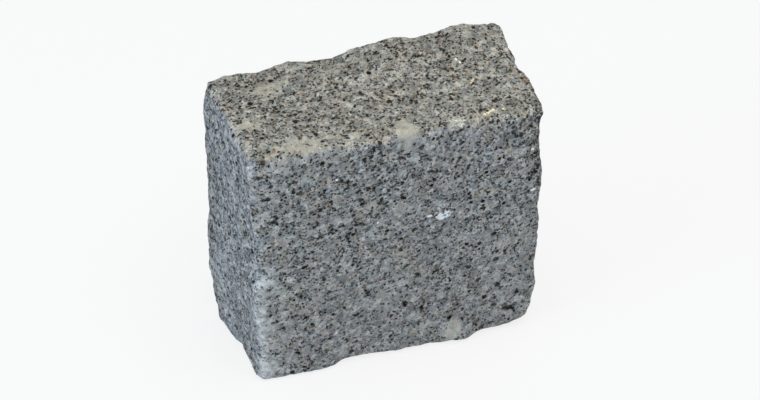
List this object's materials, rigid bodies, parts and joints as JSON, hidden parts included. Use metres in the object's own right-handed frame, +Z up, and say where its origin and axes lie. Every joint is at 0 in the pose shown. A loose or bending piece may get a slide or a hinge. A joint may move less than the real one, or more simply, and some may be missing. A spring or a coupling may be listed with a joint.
{
  "type": "granite paving sett",
  "caption": "Rough-hewn grey granite paving sett: a split rectangular block with worn arrises and a slightly narrower foot, for laying paths, edgings and drives.",
  "frame": {"origin": "on the ground, under the middle of the block's bounding box", "axes": "+X along the block's length to its right end, +Y from its front face to its back face, +Z up from its foot to its head"},
  "size_m": [0.1088, 0.0482, 0.1034],
  "materials": {
    "granite": "split and hewn, fine to medium grained, speckled light grey"
  },
  "bodies": {
    "root": {"granite_sett": "granite"}
  },
  "joints": []
}
